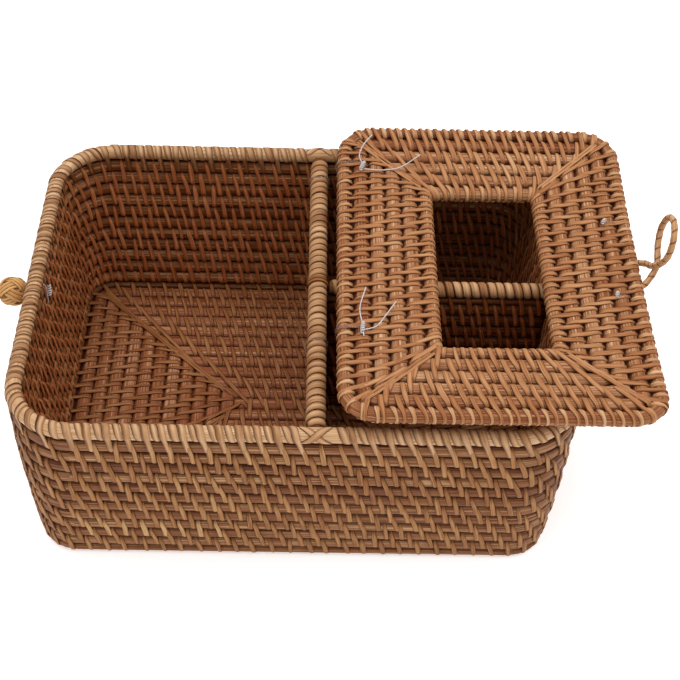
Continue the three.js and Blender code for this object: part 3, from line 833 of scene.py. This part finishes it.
def make_base():
    half_x, half_y, corner = wall_line(BASE_Z)
    pitch = half_y / BASE_ROWS
    rows = [pitch * row for row in range(BASE_ROWS)]
    half_rod = BASE_Z - 2.4 * STRIP_HALF_THICKNESS
    panel = Panel((0.0, 0.0), (half_x, half_y), corner, half_rod, pitch / 2, BASE_Z, BASE_SPACING)
    rods, outermost = Weave(), Weave()
    panel.rod(outermost, depth=0.0, half_width=2.9, half_height=half_rod, painted_shade=INNER_SIDE_PAINTED_SHADE)
    outermost.piece("base_edge_rod", rod_cane, "cane_rod", columns=1)
    for depth in rows[1:]:
        panel.rod(rods, depth, pitch / 2 - 0.04, half_rod, ROD_PAINTED_SHADE, [rng.uniform(0.3, 1.1)] * 4)
    # Dark strands in the gaps between the rods: painted shade
    for depth in rows:
        panel.rod(rods, depth + pitch / 2, BASE_GAP_SHADE_STRAND, BASE_GAP_SHADE_STRAND, 1.0)
    core = half_x - half_y + pitch / 2
    path = np.linspace((-core, 0, BASE_Z), (core, 0, BASE_Z), 24)
    rods.add(path, UP, pitch / 2, half_rod, ROD_SECTION)
    nodes = ["base_core_rod"] + numbered("base_course", BASE_ROWS)
    rods.piece("base_rods", floor_cane, "cane_rod", nodes, columns=1)
    depths = rows + [half_y]
    sets = [(a, b, tuck if a else sunk, tuck, 0.0) for a, b in zip(depths, depths[1:])]
    for face, name in ((1, "base_stitches_top"), (-1, "base_stitches_under")):
        strips = Weave()
        panel.stitches(strips, face, sets)
        panel.mitre_strands(strips, face, pitch * 0.6, half_y - pitch)
        strips.piece(name, floor_strip, "cane_peel")


# Tints of the lid's courses from the outside in, on the front, right, back and left. The outer two are redder
# at the back and on the left, and the front of the outermost course is darker: painted shade, for the shade
# on the lid's front edge.
LID_TINTS = [
    (0.25, 0.5, 0.12, 0.5),
    (0.4, 0.55, 0.05, 0.2),
    (0.6, 0.7, 0.72, 0.74),
    (0.66, 0.72, 0.78, 0.78),
    (0.6, 0.66, 0.6, 0.62),
    (0.62, 0.68, 0.7, 0.66),
]


def make_lid():
    centre = ((LID_LEFT + LID_RIGHT) / 2, 0.0)
    half = ((LID_RIGHT - LID_LEFT) / 2, LID_HALF_DEPTH)
    half_pitch = LID_PITCH / 2
    rows = [LID_FIRST_ROW + LID_PITCH * row for row in range(LID_ROWS)]
    sizes = LID_EDGE_CORNER, LID_HALF_ROD, half_pitch, LID_Z, LID_SPACING, LID_BOW, LID_STRIP_HALF_WIDTH
    panel = Panel(centre, half, *sizes)
    rods = Weave()
    edge_radius = LID_FIRST_ROW - 1.9 * STRIP_HALF_THICKNESS
    panel.rod(rods, rows[0], edge_radius, edge_radius, INNER_SIDE_PAINTED_SHADE, LID_TINTS[0], EDGE_SECTION)
    for row, tints in zip(rows[1:-1], LID_TINTS[1:-1]):
        panel.rod(rods, row, half_pitch - 0.35, LID_HALF_ROD, ROD_PAINTED_SHADE, tints)
    panel.rod(rods, rows[-1], edge_radius, edge_radius, OUTER_SIDE_PAINTED_SHADE, LID_TINTS[-1], EDGE_SECTION)
    # Dark strands in the gaps between the rods: painted shade
    for row in rows[:-1]:
        panel.rod(rods, row + half_pitch, LID_GAP_SHADE_STRAND, LID_GAP_SHADE_STRAND, 1.0)
    rods.piece("lid_rods", lid_cane, "lid_cane", numbered("lid_course", LID_ROWS), 1, body="lid")
    reach = LID_FIRST_ROW - 1.1 * STRIP_HALF_THICKNESS
    for face, name, wrap in ((1, "lid_stitches_top", 232), (-1, "lid_stitches_under", 152)):
        rim = edge(reach, wrap)
        sets = [(rows[0], rows[0], rim, tuck, 0.55), (rows[0], rows[1], rim, tuck, -0.3)]
        sets += [(a, b, tuck, tuck, 0.0) for a, b in zip(rows[1:4], rows[2:5])]
        sets += [(rows[4], rows[5], tuck, rim, -0.3), (rows[5], rows[5], tuck, rim, 0.3)]
        strips = Weave()
        panel.stitches(strips, face, sets)
        panel.mitre_strands(strips, face, 7.0, rows[-1] - 1)
        strips.piece(name, lid_strip, "cane_peel", body="lid")


# Dividers: straight rods, sewn on both faces


def divider(name, along, across, origin, span, top, tone):
    """along and across are directions in the plane of the floor. span gives the ends at a height, and
    tone makes the cane paler or darker."""
    along, across = np.array(along), np.array(across)
    levels = [course_z(course) for course in range(1, WALL_COURSES)]
    last_half = (top - levels[-1] - COURSE_PITCH / 2) / 2
    levels.append(top - last_half)
    rods = Weave()
    for level in levels:
        half = last_half if level == levels[-1] else COURSE_PITCH / 2 - 0.15
        run = np.linspace(*span(level), 20)
        path = origin + along * run[:, None] + UP * level
        rods.add(path, across, half, PANEL_HALF - 0.55, ROD_SECTION, ROD_PAINTED_SHADE, rng.random(1) + tone)
        # A dark strand in the gap below the rod: painted shade
        rods.add(path - UP * half, across, DIVIDER_GAP_SHADE_STRAND, DIVIDER_GAP_SHADE_STRAND, ROD_SECTION, 1.0)
    rods.piece(f"{name}_rods", rod_cane, "cane_rod", [f"{name}_panel"], columns=1)
    strips = Weave()
    lift = PANEL_HALF - 0.3
    for face in (1, -1):
        for row, (upper, lower) in enumerate(zip(levels[1:], levels)):
            profile, normal, painted_shade, taper = stitch_profile(-upper, -lower, DIVIDER_STITCH_HALF, lift)
            first, last = span(lower)
            start = first + 2 + np.mod(face * INSIDE_SHIFT * row * -DIVIDER_SPACING, DIVIDER_SPACING)
            place = np.arange(start, last - 2, DIVIDER_SPACING)
            place = place + rng.normal(0, 0.3, len(place))
            run = place[:, None] + sideways(profile, np.full(len(place), face * INSIDE_LEAN))
            run = np.clip(run, first + 0.5, last - 0.5)
            paths = origin + along * run[..., None] + face * across * profile[:, 1:2] - UP * profile[:, 0:1]
            outward = face * across * normal[:, 1:2] - UP * normal[:, 0:1]
            sew(strips, paths, outward, painted_shade, taper, tone)
    strips.piece(f"{name}_stitches", inner_strip_painted_light, "cane_peel")


def make_dividers():
    inside = 3.7

    def main_span(z):
        reach = wall_line(z)[1] - inside
        return -reach, reach

    def cross_span(z):
        return DIVIDER_X + PANEL_HALF + 0.3, wall_line(z)[0] - inside

    main_top = RAIL_Z - RAIL_RADIUS - 0.1
    cross_top = CROSS_RAIL_Z - CROSS_RAIL_RADIUS - 0.1
    back, right, front = (0, 1.0, 0), (1.0, 0, 0), (0, -1.0, 0)
    divider("main_divider", back, right, (DIVIDER_X, 0, 0), main_span, main_top, tone=0.0)
    # The cross divider's cane is made darker (tone -0.9): painted shade, for the shade in the covered
    # compartments
    divider("cross_divider", right, front, (0, 0, 0), cross_span, cross_top, tone=-0.9)


# Windings round a line


def carried_frames(line):
    """Two directions across a line, at each of its points, that turn as little as they can."""
    along = unit(np.gradient(line, axis=0))
    first = np.cross(along[0], [0.3, 0.2, 0.9])
    across = [first / np.linalg.norm(first)]
    for step in along[1:]:
        kept = across[-1] - step * np.dot(across[-1], step)
        across.append(kept / np.linalg.norm(kept))
    across = np.array(across)
    return across, np.cross(along, across)


def winding(weave, line, radius, pitch, half_width, half_thickness, tint, edges, variety=0.0, unevenness=0.0):
    """A strip wound round a line from its start to its end, with painted shade along its two long sides.
    variety is how much its tint comes and goes.
    """
    lengths = lengths_along(line)
    distance = np.linspace(pitch * 0.5, lengths[-1] - pitch * 0.5, int(lengths[-1] / pitch * 16))
    middle, first, second = (at_distances(distance, lengths, v) for v in (line, *carried_frames(line)))
    turn = 2 * np.pi * distance / pitch
    turn = turn + unevenness * np.sin(distance * 0.83) + unevenness * np.sin(distance * 0.37)
    outward = first * np.cos(turn)[:, None] + second * np.sin(turn)[:, None]
    path = middle + outward * radius
    tints = tint + variety * (np.sin(distance * 0.29) + np.sin(distance * 0.71) + np.sin(distance * 1.13))
    weave.add(path, outward, half_width, half_thickness, PEEL_SECTION, tint=tints[None], edges=edges)


def tube(weave, line, radius, painted_shade=0.0):
    across, _ = carried_frames(line)
    weave.add(line, across, radius, radius, LINE_SECTION, painted_shade)


def rail(name, start, end, radius, pitch, half_width, unevenness):
    """A rod bound with one strip."""
    line = np.linspace(start, end, 60)
    core = Weave()
    # The core is darkened: painted shade, for the shade between the turns of the binding
    tube(core, line, radius - 0.75, painted_shade=0.9)
    nodes = [f"{name}_divider_rail"]
    core.piece(f"{name}_rail_core", rim_cane, "rail_cane", nodes, columns=1)
    strip = Weave()
    thickness = 0.55
    sizes = radius - thickness, pitch, half_width, thickness
    winding(strip, line, *sizes, tint=0.05, edges=(0.8, 0.8), variety=0.3, unevenness=unevenness)
    strip.piece(f"{name}_rail_binding", rim_strip, "rail_cane", columns=1)


def make_rails():
    reach = RIM_HALF_DEPTH - RIM_RADIUS + 0.4
    front, back = (DIVIDER_X, -reach, RAIL_Z), (DIVIDER_X, reach, RAIL_Z)
    left, right = (DIVIDER_X + 6, 0, CROSS_RAIL_Z), (RIM_HALF_LENGTH - 4.0, 0, CROSS_RAIL_Z)
    rail("main", front, back, RAIL_RADIUS, pitch=4.5, half_width=2.2, unevenness=0.2)
    rail("cross", left, right, CROSS_RAIL_RADIUS, pitch=4.3, half_width=2.1, unevenness=0.15)


def crossed_lashing(name, turn, at):
    """Two strips that cross over the rim where a rail meets it, with painted shade along their long sides."""
    strips = Weave()
    spin = np.array([[math.cos(turn), -math.sin(turn), 0], [math.sin(turn), math.cos(turn), 0], [0, 0, 1]])
    # In degrees: where a strip starts, crosses the other and ends round the rim, and how steep it lies
    start, crossing, end, slope = -52, 40, 132, 50
    hump_width = 34
    angle = np.radians(np.linspace(start, end, 25))
    zero = np.zeros(len(angle))
    width = np.interp(np.linspace(0, 1, len(angle)), [0, 0.1, 0.9, 1], [0.6, 1, 1, 0.6])
    width = LASHING_HALF_WIDTH * width
    for lean, raised in ((-1, 0.0), (1, 0.42)):
        hump = raised * np.exp(-((np.degrees(angle) - crossing) / hump_width) ** 2)
        radius = RIM_RADIUS - 0.53 + hump
        along = lean * (angle - math.radians(crossing)) * RIM_RADIUS / math.tan(math.radians(slope)) * 1.25
        outward = np.stack([zero, -np.cos(angle), np.sin(angle)], axis=-1)
        path = outward * radius[:, None] + np.stack([along, zero, zero], axis=-1)
        path, outward = path @ spin.T + at, outward @ spin.T
        strips.add(path, outward, width, LASHING_HALF_THICKNESS, PEEL_SECTION, tint=0.3, edges=(1.0, 1.0))
    strips.piece(f"lashing_strips_{name}", rim_strip, "cane_peel", [f"lashing_{name}"])


def make_lashings():
    crossed_lashing("front", 0.0, (DIVIDER_X, -RIM_HALF_DEPTH, RIM_Z))
    crossed_lashing("rear", math.pi, (DIVIDER_X, RIM_HALF_DEPTH, RIM_Z))
    crossed_lashing("right", math.pi / 2, (RIM_HALF_LENGTH, 0, RIM_Z))
    band = Weave()
    # A band round the rail, with painted shade along the long sides of its strip
    line = np.linspace((DIVIDER_X, -2.6, RAIL_Z), (DIVIDER_X, 2.6, RAIL_Z), 20)
    pitch, half_width, half_thickness = 2.2, 1.15, 0.4
    winding(band, line, RAIL_RADIUS + 0.35, pitch, half_width, half_thickness, tint=0.0, edges=(0.9, 0.9))
    band.piece("lashing_strips_middle", strip_cane, "cane_peel", ["lashing_middle"], columns=1)


# Closure loop and knob


def between(t, first, last, start, end):
    """From start to end as t goes from first to last."""
    return ((last - t) * start + (t - first) * end) / (last - first)


def smooth_curve(points, count):
    """A centripetal curve through points, evenly spaced."""
    points = np.array(points, dtype=float)
    points = np.concatenate([[2 * points[0] - points[1]], points, [2 * points[-1] - points[-2]]])
    knots = lengths_along(points, 0.5)
    pieces = []
    for i in range(1, len(points) - 2):
        t = np.linspace(knots[i], knots[i + 1], 24, endpoint=False)[:, None]
        k = knots[i - 1:i + 3]
        p = points[i - 1:i + 3]
        a = [between(t, k[j], k[j + 1], p[j], p[j + 1]) for j in range(3)]
        b = [between(t, k[j], k[j + 2], a[j], a[j + 1]) for j in range(2)]
        pieces.append(between(t, k[1], k[2], *b))
    curve = np.concatenate(pieces + [points[-2:-1]])
    lengths = lengths_along(curve)
    return at_distances(np.linspace(0, lengths[-1], count), lengths, curve)


def loop_line():
    """From one foot, up round the teardrop and down to the other, leaning a little outwards."""
    leg, half, crossing, apart = LOOP_LEG, LOOP_HALF_WIDTH, LOOP_CROSSING, LOOP_APART

    def on_loop(y, share, aside=0.0):
        return LOOP_REACH + LOOP_LEAN * share * LOOP_LENGTH + aside, y, crossing + share * LOOP_LENGTH

    def one_half(sign, knee):
        return [
            (-1.5, sign * leg, -0.2),
            (1.2, sign * leg * 0.86, 1.0),
            (LOOP_REACH * knee, sign * leg * 0.5, crossing * 0.55),
            on_loop(0, 0, -sign * apart),
            on_loop(-sign * half * 0.7, 0.27, -sign * apart * 0.4),
            on_loop(-sign * half, 0.56),
            on_loop(-sign * half * 0.74, 0.87),
        ]

    points = [*one_half(1, 0.6), on_loop(0, 1), *one_half(-1, 0.78)[::-1]]
    return smooth_curve(points, 420) + (PIVOT_X, 0, LID_Z)


def make_loop():
    """A strand bound with one strip: each turn overlaps the one before, which shows as slanting lines of
    painted shade.
    """
    line = loop_line()
    lengths = lengths_along(line)
    section = round_section(12)
    around = np.arctan2(section[:, 1], section[:, 0]) / (2 * np.pi)
    # Painted shade in slanting lines where each turn overlaps the one before
    turn = np.mod(lengths[:, None] / LOOP_PITCH + around, 1.0)
    painted_shade = np.clip(1 - np.minimum(turn, 1 - turn) / 0.1, 0, 1) ** 0.5
    radius = LOOP_RADIUS + 0.07 * np.sin(2 * np.pi * lengths / LOOP_PITCH)
    across, _ = carried_frames(line)
    strand = Weave()
    strand.add(line, across, radius, radius, section, painted_shade, 0.2)
    strand.piece("loop_strand", rim_strip, "cane_peel", ["closure_loop"], 1, body="closure_loop")


def make_knob():
    """A knot of three strips side by side round a ball, and the ball inside it, darkened with painted shade.
    """
    leads, bights = 3, 5
    reach = math.radians(60)
    half_width, half_thickness = 0.92, 0.5
    share = np.linspace(0, 1, 260, endpoint=False)
    phase = 2 * np.pi * bights * share
    longitude = 2 * np.pi * leads * share
    latitude = reach * np.sin(phase)
    radius = KNOB_RADIUS - 0.95 + 0.42 * np.sin(2 * phase)
    around = np.cos(latitude)
    facing = np.stack([np.sin(latitude), around * np.cos(longitude), around * np.sin(longitude)], axis=-1)
    middle = facing * radius[:, None]
    along = unit(np.roll(middle, -1, axis=0) - np.roll(middle, 1, axis=0))
    across = unit(np.cross(along, facing))
    knot = Weave()
    for strip in (-1, 0, 1):
        path = unit(middle + across * strip * KNOB_STRIP_GAP) * radius[:, None] + KNOB_CENTRE
        knot.add(path, facing, half_width, half_thickness, PEEL_SECTION, tint=0.5, closed=True)
    knot.piece("knob_knot", knob_cane, "cane_peel", ["closure_knob"], columns=1)
    core = Weave()
    core_radius = KNOB_RADIUS - 1.2
    tilt = np.radians(np.linspace(-88, 88, 18))
    line = np.column_stack([np.sin(tilt), np.zeros(18), np.zeros(18)]) * core_radius + KNOB_CENTRE
    girth = core_radius * np.cos(tilt)
    # The ball is darkened with painted shade, for the shade inside the knot
    core.add(line, UP, girth, girth, round_section(20), 0.7)
    core.piece("knob_core", knob_cane, "cane_peel", columns=1)


# Nylon ties


def ring(weave, half_x, half_z, at):
    """A turn of line, squarer than a circle."""
    shape = round_section(40, 4.0)
    line = np.column_stack([-half_x * shape[:, 0], np.zeros(len(shape)), half_z * shape[:, 1]]) + at
    weave.add(line, unit(line - at), LINE_RADIUS, LINE_RADIUS, LINE_SECTION, closed=True)


def barrel_knot(weave, at, along, length, radius, turns=5):
    """A line wound tightly round itself."""
    along = unit(np.array(along, dtype=float))
    side = unit(np.cross(along, [0.1, 0.3, 1.0]))
    other = np.cross(along, side)
    share = np.linspace(0, 1, 14 * turns)[:, None]
    angle = 2 * np.pi * turns * share
    girth = radius * (0.6 + 0.4 * np.sin(np.pi * share))
    line = at + along * (share - 0.5) * length
    line = line + girth * (side * np.cos(angle) + other * np.sin(angle))
    tube(weave, line, LINE_RADIUS * 1.3)


def on_lid(x, y, lift):
    return x, y, LID_Z + rise(y, LID_BOW) + lift


def make_hinge_ties(lid_lines, lid_rings, rail_rings):
    """Rings round the lid's first two courses and round the rail, with knots and loose ends on the lid."""
    near, far = LID_LEFT - 0.3, LID_LEFT + 2 * LID_PITCH - 0.15
    for y in HINGE_TIE_PLACES:
        reach = RAIL_RADIUS + LINE_RADIUS
        ring(rail_rings, reach, reach, (DIVIDER_X, y + 0.8, RAIL_Z))
        ring(lid_rings, (far - near) / 2, LID_HALF + 0.1, on_lid((near + far) / 2, y - 0.8, 0))
    barrel_knot(lid_lines, on_lid(32.6, 72.2, 5.3), (0.3, 1, 0), length=6.5, radius=0.95)
    barrel_knot(lid_lines, on_lid(31.4, -45.4, 5.3), (0.1, 1, 0), length=7.0, radius=0.9)
    # Each loose end goes through places on the lid: x, y and the height above the lid's middle
    loose_ends = [
        [(32.4, 74, 5.2), (31.0, 80, 5.0), (33.4, 88, 5.2), (37.8, 94, 6.0)],
        [(33.4, 70, 5.2), (43, 69.3, 5.2), (52, 70.6, 6.0), (63, 77.5, 8.5)],
        [(31.3, -43, 5.2), (30.2, -32, 4.9), (33.2, -18, 5.6)],
        [(31.8, -47, 5.2), (37.7, -44.6, 5.3), (42.5, -37.4, 6.0), (47.5, -29, 7.0)],
        [(31.5, -47, 5.2), (31.7, -49, 5.0), (31.9, -51, 4.9)],
    ]
    for points in loose_ends:
        tube(lid_lines, smooth_curve([on_lid(*point) for point in points], 24), LINE_RADIUS)


def make_ties():
    lid_lines, lid_rings, rail_rings = Weave(), Weave(), Weave()
    make_hinge_ties(lid_lines, lid_rings, rail_rings)
    middle = LID_RIGHT - 1.5 * LID_PITCH + 0.15
    for y, lean in zip(LOOP_TIE_PLACES, (0.5, 0.2)):
        ring(lid_rings, LID_PITCH / 2, LID_HALF + 0.1, on_lid(middle, y, 0))
        knot = on_lid(middle - 2.4, y + lean, 4.6)
        barrel_knot(lid_lines, knot, (lean, 1, 0), length=3.6, radius=0.75, turns=3)
    lid_nodes = ["lid_hinge_tie_rear", "lid_hinge_tie_front", "loop_tie_rear", "loop_tie_front"]
    lid_rings.piece("lid_rings", clear_nylon, "nylon_line", lid_nodes, body="lid")
    lid_lines.piece("lid_lines", nylon, "nylon_line", body="lid")
    rail_nodes = ["rail_hinge_tie_rear", "rail_hinge_tie_front"]
    rail_rings.piece("rail_rings", clear_nylon, "nylon_line", rail_nodes)
    knob_line = Weave()
    z = course_z(WALL_COURSES - 1) + COURSE_PITCH / 2
    wall_x = wall_line(z)[0]
    ring(knob_line, 4.0, COURSE_PITCH, (-wall_x, 0, z))
    barrel_knot(knob_line, (-wall_x + 4.6, 3.0, z), (0, 0.4, 1), length=6.0, radius=0.85)
    knob_line.piece("knob_lines", nylon, "nylon_line", ["knob_tie"])


make_walls()
make_rim()
make_base()
make_dividers()
make_rails()
make_lashings()
make_lid()
make_loop()
make_knob()
make_ties()


# Floor, light and camera


def make_floor():
    mesh = bpy.data.meshes.new("floor")
    size = 4.0
    corners = [(-size, -size, 0), (size, -size, 0), (size, size, 0), (-size, size, 0)]
    mesh.from_pydata(corners, [], [(0, 1, 2, 3)])
    floor = bpy.data.objects.new("floor", mesh)
    floor.location.z = -0.0004
    bpy.context.collection.objects.link(floor)
    material = new_material("floor_white")
    looks = {"Base Color": (0.93, 0.93, 0.93, 1), "Roughness": 0.9}
    glow = {"Emission Color": (1, 1, 1, 1), "Emission Strength": 0.5}
    fill(material.node_tree.nodes["Principled BSDF"], looks | glow)
    mesh.materials.append(material)


def make_lights():
    world = bpy.data.worlds.new("studio")
    world.use_nodes = True
    background = world.node_tree.nodes["Background"]
    background.inputs["Color"].default_value = (1, 1, 1, 1)
    background.inputs["Strength"].default_value = 0.55
    bpy.context.scene.world = world
    boxes = [
        ("softbox", (-0.1, 0.15, 1.5), (1.8, 1.6), 16.5),
        ("side_softbox", (1.1, -0.2, 1.2), (1.0, 1.2), 5.0),
    ]
    for name, at, size, energy in boxes:
        lamp = bpy.data.lights.new(name, "AREA")
        lamp.shape = "RECTANGLE"
        lamp.size, lamp.size_y = size
        lamp.energy = energy
        box = bpy.data.objects.new(name, lamp)
        box.location = at
        aim = Vector((0, 0, 0.05)) - box.location
        box.rotation_euler = aim.to_track_quat("-Z", "Y").to_euler()
        bpy.context.collection.objects.link(box)


def make_camera():
    """The photograph's viewpoint, found from the box's corners in the picture."""
    pitch, yaw, roll = 0.8013, -0.027, 0.0365
    focal_pixels, image_pixels = 1439.54, 680
    turns = ((yaw, "Z"), (math.pi / 2 - pitch, "X"), (roll, "Z"))
    first, second, third = (Matrix.Rotation(angle, 4, axis) for angle, axis in turns)
    pose = first @ second @ third
    pose.translation = Vector((0.0081161, -0.5198652, 0.5926471))
    data = bpy.data.cameras.new("photo_camera")
    data.sensor_width = 36
    data.lens = data.sensor_width * focal_pixels / image_pixels
    data.clip_start = 0.01
    camera = bpy.data.objects.new("photo_camera", data)
    camera.matrix_world = pose
    bpy.context.collection.objects.link(camera)
    bpy.context.scene.camera = camera


make_floor()
make_lights()
make_camera()
bpy.context.scene.view_settings.view_transform = "Standard"
